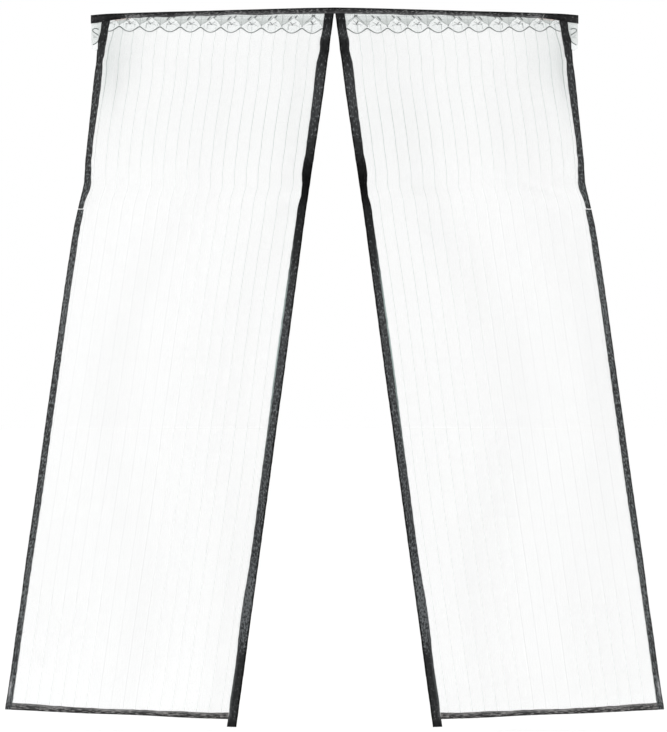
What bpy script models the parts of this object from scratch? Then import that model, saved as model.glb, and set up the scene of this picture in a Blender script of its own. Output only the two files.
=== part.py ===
# Net door curtain in two halves under one heading, hung so that the halves part towards the floor.
# Metres, +Z up, the front faces -Y. The origin is the middle of the heading's top edge.
#
# A place on a half is given by three numbers:
#   share  0 on the half's centre edge, 1 on its side edge
#   drop   distance below the origin
#   lift   distance in front of the middle of the net

import math

import bmesh
import bpy
import numpy as np

# Sheets
NET_THICK = 0.0010
TAPE_THICK = 0.0010
PLY_GAP = 0.00065  # air between two layers
BUTT_GAP = 0.0007  # air between two pieces that meet end to end
LAYER = NET_THICK / 2 + PLY_GAP + TAPE_THICK / 2  # middle of the net to middle of the next layer
EDGE_INSET = 0.0020  # fold of a tape to the raw edge of the net inside it

# Heading: a folded tape that takes the net and the lace along their top edges. top is how far its top
# edge hangs below its middle, and its lower edge is as uneven as the heights.
HEADING_COLUMNS = ("x", "top", "height")
HEADING = (
    (0.000, 0.0000, 0.0175),
    (0.100, 0.0018, 0.0163),
    (0.210, 0.0048, 0.0160),
    (0.290, 0.0070, 0.0124),
    (0.360, 0.0091, 0.0147),
    (0.435, 0.0112, 0.0130),
    (0.480, 0.0123, 0.0156),
    (0.550, 0.0143, 0.0133),
    (0.619, 0.0168, 0.0164),
    (0.650, 0.0178, 0.0190),
    (0.688, 0.0202, 0.0232),
    (0.7125, 0.0226, 0.0235),
)
HEADING_HALF = HEADING[-1][0]
HEADING_STEPS = 60
SEWN_IN = 0.0030  # top of the heading to the top of the net and the lace

# The half's outline: side_x is the fold of the side tape and centre_x that of the centre tape, the widths
# are those of the two tapes
HANG_COLUMNS = ("drop", "side_x", "side_w", "centre_x", "centre_w")
HANG = (
    (0.020, 0.6800, 0.0240, 0.0027, 0.0268),
    (0.047, 0.6836, 0.0240, 0.0065, 0.0269),
    (0.072, 0.6862, 0.0235, 0.0098, 0.0268),
    (0.094, 0.6926, 0.0264, 0.0126, 0.0296),
    (0.123, 0.6940, 0.0226, 0.0158, 0.0274),
    (0.153, 0.6958, 0.0181, 0.0202, 0.0300),
    (0.183, 0.6999, 0.0203, 0.0243, 0.0311),
    (0.211, 0.7034, 0.0219, 0.0278, 0.0302),
    (0.328, 0.7155, 0.0178, 0.0444, 0.0275),
    (0.445, 0.7280, 0.0166, 0.0620, 0.0270),
    (0.489, 0.7306, 0.0181, 0.0685, 0.0268),
    (0.518, 0.7335, 0.0196, 0.0724, 0.0226),
    (0.548, 0.7408, 0.0164, 0.0769, 0.0205),
    (0.586, 0.7499, 0.0146, 0.0828, 0.0246),
    (0.621, 0.7572, 0.0160, 0.0880, 0.0240),
    (0.738, 0.7774, 0.0184, 0.1035, 0.0256),
    (1.206, 0.8432, 0.0180, 0.1669, 0.0250),
    (1.674, 0.9096, 0.0172, 0.2300, 0.0256),
    (1.750, 0.9203, 0.0168, 0.2400, 0.0284),
    (2.048, 0.9625, 0.0178, 0.2800, 0.0280),
    (2.102, 0.9702, 0.0178, 0.2872, 0.0272),
)
ROW_STEP = 0.065  # longest row of a grid
NET_TOP = 0.0245  # top of the net at its side edge
NET_BOTTOM = 2.0485  # bottom fold of the hem at the side edge
TOP_SKEW = -0.0205  # how much lower a row is at the centre edge than at the side edge, at the top
BOTTOM_SKEW = 0.0310  # the same at the bottom
HEM_HEIGHT = 0.0155
TAIL_DROP = 2.1020  # cut end of the centre tape, below the hem
SIDE_BUTT = 0.5865  # where the two lengths of side tape meet
SIDE_BUTT_GAP = 0.0010
SLIT_DROP = 0.1230  # the side tape's fold is open above this, where the lace passes out
POCKET_DROP = 0.1530  # below this the tapes hold the net alone

# Folds in depth
FREE_FROM, FREE_TO = 0.030, 0.300  # the heading holds the cloth flat down to the first
FLUTES = 2
FLUTE_DEPTH = 0.011
FLUTE_GROWTH = 0.004  # added at the bottom
FLUTE_SWAY, FLUTE_SWAY_LENGTH = 0.16, 1.45
SWING = 0.012  # how far the bottom hangs forward
ROLL_DEPTH, ROLL_DROP, ROLL_LENGTH = 0.0130, 0.225, 0.085  # soft roll by the outer top corner
ROLL_PLACE, ROLL_WIDTH = 0.050, 0.026
BUCKLE_DROP, BUCKLE_LENGTH = 0.548, 0.036  # fold line across the halves
BUCKLE_DEPTH, BUCKLE_REACH = 0.009, 0.120
TURN_DEPTH, TURN_WIDTH = 0.009, 0.022  # the long tapes turn forward on that line

# Lace
LACE_LIFT = NET_THICK + PLY_GAP
LACE_START, LACE_END = 0.0200, 0.7105
LOBE_PITCH = 0.0593
FIRST_LOBE = 0.0646
LOBE_DROP, LOBE_SLOPE = 0.0766, -0.0110  # bottom of a lobe at the middle, and its fall per metre
LOBE_DEPTH = 0.0142
CUSP_ROUND = 0.3  # 0 is a sharp cusp between two lobes
LOBE_STEPS = 8  # columns of a lobe
LACE_ROWS = 3
TAIL_COLUMNS = ("x", "drop")  # lower edge of the lace's loose end
TAIL = ((0.6710, 0.0648), (0.6880, 0.0945), (0.7105, 0.1115))

# Columns of the panels and hems, as shares and as distances from the side edge
SHARES = (0.11, 0.20, 0.29, 0.38, 0.47, 0.56, 0.65, 0.74, 0.82)
SIDE_STEPS = (0.080, 0.050)

MATERIALS = {  # colour, roughness
    "net": ((0.86, 0.89, 0.87), 0.75),
    "lace": ((0.80, 0.83, 0.81), 0.70),
    "heading_tape": ((0.035, 0.034, 0.036), 0.85),
    "binding_tape": ((0.045, 0.046, 0.047), 0.85),
    "hem_tape": ((0.090, 0.092, 0.092), 0.90),
}


def clearScene():
    for old in list(bpy.data.objects):
        bpy.data.objects.remove(old)


def materialOf(name):
    colour, roughness = MATERIALS[name]
    material = bpy.data.materials.get(name) or bpy.data.materials.new(name)
    material.use_nodes = True
    shader = material.node_tree.nodes["Principled BSDF"]
    shader.inputs["Base Color"].default_value = (*colour, 1)
    shader.inputs["Roughness"].default_value = roughness
    shader.inputs["Metallic"].default_value = 0
    material.diffuse_color = (*colour, 1)
    return material


def curveOf(rows, columns, name, at):
    # A smooth curve through one column of a table, read at values of the first column: on each stretch
    # a cubic that keeps the slope of the stretches beside it.
    places = np.array([row[0] for row in rows])
    values = np.array([row[columns.index(name)] for row in rows])
    slopes = np.gradient(values, places)
    at = np.clip(at, places[0], places[-1])
    k = np.clip(np.searchsorted(places, at) - 1, 0, len(places) - 2)
    length = places[k + 1] - places[k]
    u = (at - places[k]) / length
    start = (1 + 2 * u) * (1 - u) ** 2 * values[k] + u * (1 - u) ** 2 * length * slopes[k]
    end = u**2 * (3 - 2 * u) * values[k + 1] - u**2 * (1 - u) * length * slopes[k + 1]
    return start + end


def hangOf(name, drop):
    return curveOf(HANG, HANG_COLUMNS, name, drop)


def spanOf(drop):
    return hangOf("side_x", drop) - hangOf("centre_x", drop)


def headingTop(x):
    return curveOf(HEADING, HEADING_COLUMNS, "top", np.abs(x))


def headingBottom(x):
    return headingTop(x) + curveOf(HEADING, HEADING_COLUMNS, "height", np.abs(x))


def ease(u):
    u = np.clip(u, 0, 1)
    return u * u * (3 - 2 * u)


def hump(distance, width):
    return np.exp(-((distance / width) ** 2))


def forwardOf(share, drop):
    # How far the cloth stands forward of the heading's plane: two upright flutes whose crests wander,
    # a roll by the outer top corner, a fold line across the half, and a swing that grows downwards.
    span = spanOf(drop)
    share = np.clip(share, 0, 1)
    fromSide, fromCentre = (1 - share) * span, share * span
    sway = FLUTE_SWAY * np.sin(2 * math.pi * drop / FLUTE_SWAY_LENGTH)
    turns = FLUTES * (share + sway * 4 * share * (1 - share))
    deep = (FLUTE_DEPTH + FLUTE_GROWTH * drop / NET_BOTTOM) * ease((drop - FREE_FROM) / (FREE_TO - FREE_FROM))
    flutes = deep * (0.5 - 0.5 * np.cos(2 * math.pi * turns))
    roll = ROLL_DEPTH * hump(drop - ROLL_DROP, ROLL_LENGTH) * hump(fromSide - ROLL_PLACE, ROLL_WIDTH)
    edges = hump(fromSide, BUCKLE_REACH) + hump(fromCentre, BUCKLE_REACH)
    turn = TURN_DEPTH * (hump(fromSide, TURN_WIDTH) + hump(fromCentre, TURN_WIDTH))
    buckle = hump(drop - BUCKLE_DROP, BUCKLE_LENGTH) * (BUCKLE_DEPTH * (0.3 + 0.7 * edges) + turn)
    swing = SWING * (drop / NET_BOTTOM) ** 2
    return flutes + roll + buckle + swing


def flatPoint(share, drop):
    # A point in the middle of the net, on the right half.
    x = hangOf("centre_x", drop) + share * spanOf(drop)
    return np.stack([x, -forwardOf(share, drop), -drop], axis=-1)


def pointOn(share, drop, lift):
    # The same point moved forward by lift, square to the cloth.
    share, drop, lift = np.broadcast_arrays(*(np.asarray(a, float) for a in (share, drop, lift)))
    small = 1e-4
    across = flatPoint(share + small, drop) - flatPoint(share - small, drop)
    down = flatPoint(share, drop + small) - flatPoint(share, drop - small)
    square = np.cross(across, down)
    square *= -np.sign(square[..., 1:2]) / np.linalg.norm(square, axis=-1, keepdims=True)
    return flatPoint(share, drop) + lift[..., None] * square


def skewOf(row):
    # Rows fall towards the side edge at the top and towards the centre edge at the bottom.
    u = np.clip((row - NET_TOP) / (NET_BOTTOM - NET_TOP), 0, 1)
    return TOP_SKEW + u * (BOTTOM_SKEW - TOP_SKEW)


def dropOf(share, row):
    return row + (1 - np.clip(share, 0, 1)) * skewOf(row)


def rowsBetween(first, last):
    # Rows at the heights of the outline's table, with long stretches divided, from first to last.
    rows = []
    heights = [row[0] for row in HANG]
    for top, bottom in zip(heights, heights[1:]):
        steps = math.ceil((bottom - top) / ROW_STEP)
        rows += [top + (bottom - top) * k / steps for k in range(steps)]
    inner = [row for row in rows if first + 0.004 < row < last - 0.004]
    return np.array([first, *inner, last])


def sheet(name, material, points, thickness, side, group, parent, opened=()):
    # A grid of points, rows first, thickened about its middle. opened lists the (row, column) quads left out.
    rows, columns = points.shape[:2]
    grid = bmesh.new()
    bmesh.ops.create_grid(grid, x_segments=columns - 1, y_segments=rows - 1, size=0.5)
    for vertex in grid.verts:
        column = round((vertex.co.x + 0.5) * (columns - 1))
        row = round((vertex.co.y + 0.5) * (rows - 1))
        vertex.co = points[row, column] * (side, 1, 1)
    if opened:
        grid.faces.ensure_lookup_table()
        gone = [grid.faces[row * (columns - 1) + column] for row, column in opened]
        bmesh.ops.delete(grid, geom=gone, context="FACES")
    # One rule for the split of every quad, so that layers that lie on each other bend alike.
    bmesh.ops.triangulate(grid, faces=grid.faces[:], quad_method="SHORT_EDGE")
    mesh = bpy.data.meshes.new(name)
    grid.to_mesh(mesh)
    grid.free()
    mesh.materials.append(materialOf(material))
    made = bpy.data.objects.new(name, mesh)
    group.objects.link(made)
    made.parent = parent
    thick = made.modifiers.new("Thickness", "SOLIDIFY")
    thick.thickness = thickness
    thick.offset = 0
    thick.use_even_offset = True
    thick.use_quality_normals = True
    return made


def tuckedEdge(points, edge, inner, width):
    # Moves a panel's outermost column onto the straight line across the tape that holds it.
    share = (EDGE_INSET - TAPE_THICK / 2) / (width - TAPE_THICK / 2)
    points[:, edge] += share * (points[:, inner] - points[:, edge])


def makePanel(side, name, group, parent):
    # One layer of net, its four edges inside the tapes.
    rows = rowsBetween(NET_TOP, NET_BOTTOM - EDGE_INSET)
    rows = np.sort(np.append(rows, NET_BOTTOM - HEM_HEIGHT))[:, None]
    fold = np.full_like(rows, TAPE_THICK / 2)
    centreWidth, sideWidth = hangOf("centre_w", rows + skewOf(rows)), hangOf("side_w", rows)
    steps = [np.full_like(rows, step) for step in SIDE_STEPS]
    near = np.hstack([fold, centreWidth]) / spanOf(rows)
    middle = np.repeat([SHARES], len(rows), axis=0)
    far = 1 - np.hstack([*steps, sideWidth, fold]) / spanOf(rows)
    share = np.hstack([near, middle, far])
    points = pointOn(share, dropOf(share, rows), 0)
    tuckedEdge(points, 0, 1, centreWidth)
    tuckedEdge(points, -1, -2, sideWidth)
    sheet(f"panel_{name}", "net", points, NET_THICK, side, group, parent)


def foldedPlies(front):
    # Lifts and places across a folded tape, from its front edge round the fold to its back edge. Places
    # are 0 at the fold and 1 at the edges.
    back = np.full_like(front, -LAYER)
    return np.stack([front, front, back, back], axis=-1), np.array([1, 0, 0, 1])


def longTape(rows, atSide):
    # Points of a tape folded over one long edge of a half. At the top it also takes the lace.
    pocket = LACE_LIFT * (1 - ease((rows - SLIT_DROP) / (POCKET_DROP - SLIT_DROP)))
    lifts, places = foldedPlies(LAYER + pocket)
    drops = rows + (0 if atSide else skewOf(rows))
    width = hangOf("side_w" if atSide else "centre_w", drops)
    fromEdge = np.where(places == 1, width[:, None], TAPE_THICK / 2)
    share = fromEdge / spanOf(rows)[:, None]
    share = 1 - share if atSide else share
    return share, dropOf(share, rows[:, None]), lifts


def makeSideTapes(side, name, group, parent):
    # Two lengths that meet end to end. The upper one's fold is open at the top, for the lace.
    start = headingBottom(HANG[1][1]) + BUTT_GAP
    upper = rowsBetween(start, SIDE_BUTT - SIDE_BUTT_GAP / 2)
    share, drop, lifts = longTape(upper, True)
    points = pointOn(share, drop, lifts)
    opened = [(row, 1) for row in range(len(upper) - 1) if upper[row + 1] <= SLIT_DROP + 1e-6]
    sheet(f"side_tape_upper_{name}", "binding_tape", points, TAPE_THICK, side, group, parent, opened)
    lower = rowsBetween(SIDE_BUTT + SIDE_BUTT_GAP / 2, NET_BOTTOM)
    points = pointOn(*longTape(lower, True))
    sheet(f"side_tape_lower_{name}", "binding_tape", points, TAPE_THICK, side, group, parent)


def makeCentreTape(side, name, group, parent):
    # One length, from under the heading to a cut end below the hem.
    start = headingBottom(0) + BUTT_GAP - skewOf(NET_TOP)
    rows = rowsBetween(start, TAIL_DROP - BOTTOM_SKEW)
    points = pointOn(*longTape(rows, False))
    sheet(f"centre_tape_{name}", "binding_tape", points, TAPE_THICK, side, group, parent)


def makeHem(side, name, group, parent):
    # A tape folded over the bottom edge, between the two long tapes.
    row = np.array([NET_BOTTOM])
    inner = hangOf("centre_w", row + BOTTOM_SKEW) + BUTT_GAP
    outer = hangOf("side_w", row) + BUTT_GAP
    ends = [inner / spanOf(row), [SHARES], 1 - np.array([[*SIDE_STEPS, *outer]]) / spanOf(row)]
    share = np.concatenate([np.ravel(end) for end in ends])[:, None]
    lifts, places = foldedPlies(np.full(len(share), LAYER))
    height = np.where(places == 1, HEM_HEIGHT, TAPE_THICK / 2)
    rows = np.broadcast_to(NET_BOTTOM - height, lifts.shape)
    points = pointOn(np.broadcast_to(share, lifts.shape), dropOf(share, rows), lifts)
    sheet(f"hem_tape_{name}", "hem_tape", points, TAPE_THICK, side, group, parent)


def lowerLaceEdge(x):
    # Round lobes with narrow cusps, |cos| with its corners rounded, then the loose end.
    turn = math.pi * (x - FIRST_LOBE) / LOBE_PITCH
    rounded = np.sqrt(np.cos(turn) ** 2 + CUSP_ROUND**2) - CUSP_ROUND
    rise = 1 - rounded / (math.sqrt(1 + CUSP_ROUND**2) - CUSP_ROUND)
    lobes = LOBE_DROP + LOBE_SLOPE * x - LOBE_DEPTH * rise
    tail = curveOf(TAIL, TAIL_COLUMNS, "drop", x)
    return np.where(x > TAIL[0][0], tail, lobes)


def makeLace(side, name, group, parent):
    # A scalloped strip in front of the net, from inside the centre tape to the heading's end.
    step = LOBE_PITCH / LOBE_STEPS
    first = math.ceil((LACE_START - FIRST_LOBE) / step + 0.5)
    last = math.floor((TAIL[0][0] - FIRST_LOBE) / step)
    lobes = FIRST_LOBE + step * np.arange(first, last + 1)
    tail = np.linspace(TAIL[0][0], LACE_END, 6)
    x = np.concatenate([[LACE_START], lobes, tail])
    top, bottom = headingTop(x) + SEWN_IN, lowerLaceEdge(x)
    down = np.linspace(0, 1, LACE_ROWS + 1)[:, None]
    drop = top + down * (bottom - top)
    share = (x - hangOf("centre_x", drop)) / spanOf(drop)
    points = pointOn(share, drop, LACE_LIFT)
    sheet(f"lace_{name}", "lace", points, NET_THICK, side, group, parent)


def makeHeading(group, parent):
    # A tape folded over the top edges, in one plane, bowed up in the middle and cut square at the ends.
    x = np.linspace(-HEADING_HALF, HEADING_HALF, HEADING_STEPS + 1)
    lifts, places = foldedPlies(np.full(len(x), LAYER + LACE_LIFT))
    top = headingTop(x)[:, None] + TAPE_THICK / 2
    drop = np.where(places == 1, headingBottom(x)[:, None], top)
    points = np.stack([np.broadcast_to(x[:, None], drop.shape), -lifts, -drop], axis=-1)
    sheet("heading_tape", "heading_tape", points, TAPE_THICK, 1, group, parent)


def main():
    clearScene()
    group = bpy.data.collections.new("screen_door_curtain")
    bpy.context.scene.collection.children.link(group)
    parent = bpy.data.objects.new("hanging_point", None)
    group.objects.link(parent)
    makeHeading(group, parent)
    for side, name in ((-1, "left"), (1, "right")):
        makePanel(side, name, group, parent)
        makeLace(side, name, group, parent)
        makeSideTapes(side, name, group, parent)
        makeCentreTape(side, name, group, parent)
        makeHem(side, name, group, parent)


main()
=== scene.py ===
import math

import bpy
import numpy as np
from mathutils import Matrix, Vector


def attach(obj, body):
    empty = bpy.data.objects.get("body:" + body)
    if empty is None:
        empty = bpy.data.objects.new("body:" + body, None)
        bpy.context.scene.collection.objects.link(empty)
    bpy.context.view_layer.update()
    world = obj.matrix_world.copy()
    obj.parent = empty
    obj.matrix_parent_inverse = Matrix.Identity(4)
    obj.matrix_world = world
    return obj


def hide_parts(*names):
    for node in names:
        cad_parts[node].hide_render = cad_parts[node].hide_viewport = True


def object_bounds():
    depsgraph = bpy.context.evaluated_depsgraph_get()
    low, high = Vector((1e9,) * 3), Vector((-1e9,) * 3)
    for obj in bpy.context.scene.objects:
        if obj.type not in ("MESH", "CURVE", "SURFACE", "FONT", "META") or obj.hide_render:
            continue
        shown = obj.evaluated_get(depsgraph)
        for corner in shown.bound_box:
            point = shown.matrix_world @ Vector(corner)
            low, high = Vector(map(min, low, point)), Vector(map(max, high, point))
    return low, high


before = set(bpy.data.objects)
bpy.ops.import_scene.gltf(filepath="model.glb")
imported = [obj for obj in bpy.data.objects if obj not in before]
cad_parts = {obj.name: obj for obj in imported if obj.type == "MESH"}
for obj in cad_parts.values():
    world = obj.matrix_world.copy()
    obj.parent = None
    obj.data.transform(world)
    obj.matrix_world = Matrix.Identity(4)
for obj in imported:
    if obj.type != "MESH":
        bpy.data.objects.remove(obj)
cadLow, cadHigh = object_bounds()
print(f"frame: {len(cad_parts)} nodes, {cadHigh.x - cadLow.x:.3f} x {cadHigh.z - cadLow.z:.3f} m")


outline = {  # sideX and centreX are the folds of the two long tapes
    "columns": ("drop", "sideX", "sideW", "centreX", "centreW"),
    "rows": (
        (0.020, 0.6800, 0.0240, 0.0023, 0.0270), (0.047, 0.6836, 0.0258, 0.0061, 0.0272),
        (0.072, 0.6862, 0.0238, 0.0096, 0.0271), (0.094, 0.6926, 0.0268, 0.0126, 0.0296),
        (0.123, 0.6940, 0.0230, 0.0158, 0.0275), (0.142, 0.6950, 0.0213, 0.0186, 0.0292),
        (0.153, 0.6958, 0.0188, 0.0202, 0.0303), (0.183, 0.6999, 0.0212, 0.0243, 0.0315),
        (0.211, 0.7034, 0.0224, 0.0277, 0.0307), (0.328, 0.7155, 0.0189, 0.0443, 0.0279),
        (0.400, 0.7233, 0.0169, 0.0550, 0.0270), (0.423, 0.7258, 0.0176, 0.0585, 0.0258),
        (0.445, 0.7280, 0.0174, 0.0616, 0.0276), (0.489, 0.7306, 0.0192, 0.0685, 0.0270),
        (0.518, 0.7326, 0.0208, 0.0724, 0.0226), (0.534, 0.7357, 0.0206, 0.0747, 0.0210),
        (0.548, 0.7392, 0.0178, 0.0768, 0.0206), (0.564, 0.7429, 0.0150, 0.0793, 0.0232),
        (0.586, 0.7490, 0.0148, 0.0827, 0.0250), (0.621, 0.7572, 0.0165, 0.0878, 0.0246),
        (0.738, 0.7768, 0.0190, 0.1032, 0.0262), (0.850, 0.7935, 0.0188, 0.1184, 0.0272),
        (0.944, 0.8066, 0.0188, 0.1308, 0.0283), (1.119, 0.8310, 0.0192, 0.1542, 0.0282),
        (1.206, 0.8434, 0.0194, 0.1664, 0.0264), (1.383, 0.8677, 0.0196, 0.1898, 0.0262),
        (1.646, 0.9053, 0.0186, 0.2255, 0.0260), (1.750, 0.9188, 0.0172, 0.2397, 0.0295),
        (1.821, 0.9294, 0.0176, 0.2495, 0.0290), (1.909, 0.9412, 0.0174, 0.2608, 0.0270),
        (1.997, 0.9539, 0.0178, 0.2729, 0.0278), (2.020, 0.9576, 0.0183, 0.2762, 0.0284),
        (2.048, 0.9618, 0.0180, 0.2800, 0.0268), (2.102, 0.9702, 0.0178, 0.2872, 0.0274),
    ),
}
hangs = {
    "netTop": 0.0245,  # rows of the net at its side edge
    "netBottom": 2.0504,
    "topSkew": -0.0205,  # how much lower a row is at the centre edge
    "bottomSkew": 0.0291,
    "freeFrom": 0.030,  # the heading holds the cloth flat down to here
    "freeTo": 0.300,
    "flutes": 2,
    "fluteDepth": 0.011,
    "fluteGrowth": 0.004,
    "fluteSway": 0.16,
    "fluteSwayLength": 1.45,
    "swing": 0.012,
    "rollDepth": 0.013,
    "rollDrop": 0.225,
    "rollLength": 0.085,
    "rollPlace": 0.050,
    "rollWidth": 0.026,
    "buckleDrop": 0.548,
    "buckleLength": 0.036,
    "buckleDepth": 0.009,
    "buckleReach": 0.120,
    "turnDepth": 0.009,
    "turnWidth": 0.022,
    "stiff": 0.05,  # the long tapes hold off the fine ripples over this
}
creases = {  # soft troughs between two places of a half; depth is below 0 for a ridge
    "columns": ("share1", "drop1", "share2", "drop2", "depth", "width"),
    "rows": (
        (0.965, 0.045, 0.93, 0.36, 0.0030, 0.009), (0.955, 0.050, 0.78, 0.23, 0.0016, 0.014),
        (0.930, 0.045, 0.62, 0.15, -0.0012, 0.012), (0.060, 0.060, 0.14, 0.42, 0.0014, 0.012),
        (0.070, 0.560, 0.35, 0.50, 0.0022, 0.011), (0.090, 0.580, 0.30, 0.69, -0.0015, 0.014),
        (0.950, 0.560, 0.70, 0.51, 0.0020, 0.012), (0.940, 0.600, 0.76, 0.76, 0.0016, 0.016),
        (0.020, 1.020, 0.98, 1.02, 0.0010, 0.007), (0.020, 1.490, 0.98, 1.49, -0.0010, 0.008),
        (0.930, 1.980, 0.72, 1.78, 0.0018, 0.016), (0.080, 2.020, 0.25, 1.80, -0.0020, 0.018),
    ),
}


def curveOf(table, name, at):
    # A smooth curve through one column of a table, read at values of the first column: on each stretch
    # a cubic that keeps the slope of the stretches beside it.
    places = np.array([row[0] for row in table["rows"]])
    values = np.array([row[table["columns"].index(name)] for row in table["rows"]])
    slopes = np.gradient(values, places)
    at = np.clip(at, places[0], places[-1])
    k = np.clip(np.searchsorted(places, at) - 1, 0, len(places) - 2)
    length = places[k + 1] - places[k]
    u = (at - places[k]) / length
    start = (1 + 2 * u) * (1 - u) ** 2 * values[k] + u * (1 - u) ** 2 * length * slopes[k]
    end = u**2 * (3 - 2 * u) * values[k + 1] - u**2 * (1 - u) * length * slopes[k + 1]
    return start + end


def ease(u):
    u = np.clip(u, 0, 1)
    return u * u * (3 - 2 * u)


def hump(distance, width):
    return np.exp(-((distance / width) ** 2))


def ripple(at, length, seed):
    # An uneven wave between about -1 and 1: three sines whose lengths never fall together.
    turn = 2 * math.pi * np.asarray(at) / length
    waves = ((1, 1, 1), (0.6, 0.618, 2.1), (0.4, 0.37, 3.7))  # height, length and shift of each
    return sum(high * np.sin(turn / long + shift * seed) for high, long, shift in waves) / 1.6


def outlineAt(name, drop):
    return curveOf(outline, name, drop)


def spanAt(drop):
    return outlineAt("sideX", drop) - outlineAt("centreX", drop)


def skewAt(row):
    # Rows fall towards the side edge at the top and towards the centre edge at the bottom.
    u = np.clip((row - hangs["netTop"]) / (hangs["netBottom"] - hangs["netTop"]), 0, 1)
    return hangs["topSkew"] + u * (hangs["bottomSkew"] - hangs["topSkew"])


def dropAt(share, row):
    return row + (1 - np.clip(share, 0, 1)) * skewAt(row)


def creaseDepth(share, drop):
    # Each crease is a bell across the line between its two ends, and dies away towards them.
    x = outlineAt("centreX", drop) + share * spanAt(drop)
    total = 0
    for share1, drop1, share2, drop2, depth, width in creases["rows"]:
        x1 = outlineAt("centreX", drop1) + share1 * spanAt(drop1)
        x2 = outlineAt("centreX", drop2) + share2 * spanAt(drop2)
        length = math.hypot(x2 - x1, drop2 - drop1)
        across, down = (x2 - x1) / length, (drop2 - drop1) / length
        along = ((x - x1) * across + (drop - drop1) * down) / length
        off = (x - x1) * down - (drop - drop1) * across
        fade = ease(4 * along) * ease(4 * (1 - along))
        bend = 0.25 * width * ripple(along, 0.55, 100 * depth + drop1)
        total = total + depth * fade * hump(off + bend, width)
    return total


def forwardAt(share, drop):
    # How far the cloth stands forward: two upright flutes whose crests wander, a roll by the outer top
    # corner, a fold line across the half, a swing that grows downwards, then ripples and creases.
    span = spanAt(drop)
    share = np.clip(share, 0, 1)
    fromSide, fromCentre = (1 - share) * span, share * span

    def atEdges(width):
        return hump(fromSide, width) + hump(fromCentre, width)

    sway = hangs["fluteSway"] * np.sin(2 * math.pi * drop / hangs["fluteSwayLength"])
    turns = hangs["flutes"] * (share + sway * 4 * share * (1 - share))
    free = ease((drop - hangs["freeFrom"]) / (hangs["freeTo"] - hangs["freeFrom"]))
    deep = (hangs["fluteDepth"] + hangs["fluteGrowth"] * drop / hangs["netBottom"]) * free
    flutes = deep * (0.5 - 0.5 * np.cos(2 * math.pi * turns))
    roll = hump(drop - hangs["rollDrop"], hangs["rollLength"])
    roll = hangs["rollDepth"] * (roll * hump(fromSide - hangs["rollPlace"], hangs["rollWidth"]))
    line = hump(drop - hangs["buckleDrop"], hangs["buckleLength"])
    turned = hangs["turnDepth"] * atEdges(hangs["turnWidth"])
    buckle = line * (hangs["buckleDepth"] * (0.3 + 0.7 * atEdges(hangs["buckleReach"])) + turned)
    swing = hangs["swing"] * (drop / hangs["netBottom"]) ** 2
    inner = ease(fromSide / hangs["stiff"]) * ease(fromCentre / hangs["stiff"])
    fine = 0.0006 * ripple(share * span + 0.05 * drop, 0.105, 1.3) * (0.6 + 0.4 * ripple(drop, 0.62, 4.1))
    fine = fine + 0.0005 * ripple(drop + 0.3 * share, 0.23, 2.2) * ripple(share, 0.41, 0.7)
    return flutes + roll + buckle + swing + free * (inner * fine - creaseDepth(share, drop))


def middleAt(share, drop):
    # A point in the middle of the net, on the right half.
    x = outlineAt("centreX", drop) + share * spanAt(drop)
    return joined(x, -forwardAt(share, drop), -drop)


def clothAt(share, drop, lift):
    # The same point moved forward by lift, square to the cloth.
    share, drop, lift = np.broadcast_arrays(*(np.asarray(a, float) for a in (share, drop, lift)))
    small = 2e-4
    across = middleAt(share + small, drop) - middleAt(share - small, drop)
    down = middleAt(share, drop + small) - middleAt(share, drop - small)
    square = np.cross(across, down)
    square *= -np.sign(square[..., 1:2]) / np.linalg.norm(square, axis=-1, keepdims=True)
    return middleAt(share, drop) + lift[..., None] * square


def joined(*parts):
    # Grids side by side along a new last axis, spread to one shape.
    return np.stack(np.broadcast_arrays(*parts), axis=-1)


def addObject(name, data):
    made = bpy.data.objects.new(name, data)
    bpy.context.scene.collection.objects.link(made)
    return made


def finishPiece(mesh, material, replaced=()):
    # A piece named as its mesh, riding on the only body.
    made = addObject(mesh.name, mesh)
    mesh.materials.append(material)
    mesh.shade_smooth()
    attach(made, "root")
    if replaced:
        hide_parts(*replaced)
    return made


def fillMesh(name, points, faces, maps=None, values=None):
    # Quads from arrays. maps are UV maps and values are numbers on the points.
    mesh = bpy.data.meshes.new(name)
    mesh.vertices.add(len(points))
    mesh.vertices.foreach_set("co", points.astype(np.float32).ravel())
    mesh.loops.add(faces.size)
    mesh.loops.foreach_set("vertex_index", faces.astype(np.int32).ravel())
    mesh.polygons.add(len(faces))
    mesh.polygons.foreach_set("loop_start", np.arange(len(faces), dtype=np.int32) * 4)
    for label, uv in (maps or {}).items():
        layer = mesh.uv_layers.new(name=label)
        layer.uv.foreach_set("vector", uv[faces.ravel()].astype(np.float32).ravel())
    for label, value in (values or {}).items():
        stored = mesh.attributes.new(label, "FLOAT", "POINT")
        stored.data.foreach_set("value", value.astype(np.float32).ravel())
    mesh.update(calc_edges=True)
    mesh.validate()
    return mesh


def sheetMesh(name, side, points, maps, values, left=None):
    # A grid of points, rows first, as quads that face forward; left says which quads to leave out.
    rows, columns = points.shape[:2]
    index = np.arange(rows * columns).reshape(rows, columns)
    faces = np.stack([index[:-1, :-1], index[1:, :-1], index[1:, 1:], index[:-1, 1:]], axis=-1)
    if side < 0:
        faces = faces[..., ::-1]
    faces = faces.reshape(-1, 4) if left is None else faces[~left]
    placed = points.reshape(-1, 3) * (side, 1, 1)
    flat = {label: uv.reshape(-1, 2) for label, uv in maps.items()}
    spread = {label: np.broadcast_to(value, (rows, columns)) for label, value in values.items()}
    return fillMesh(name, placed, faces, flat, spread)


def thicken(made, thickness):
    thick = made.modifiers.new("Thickness", "SOLIDIFY")
    thick.thickness = thickness
    thick.offset = 0
    thick.use_even_offset = True
    thick.use_quality_normals = True
    return made


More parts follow.
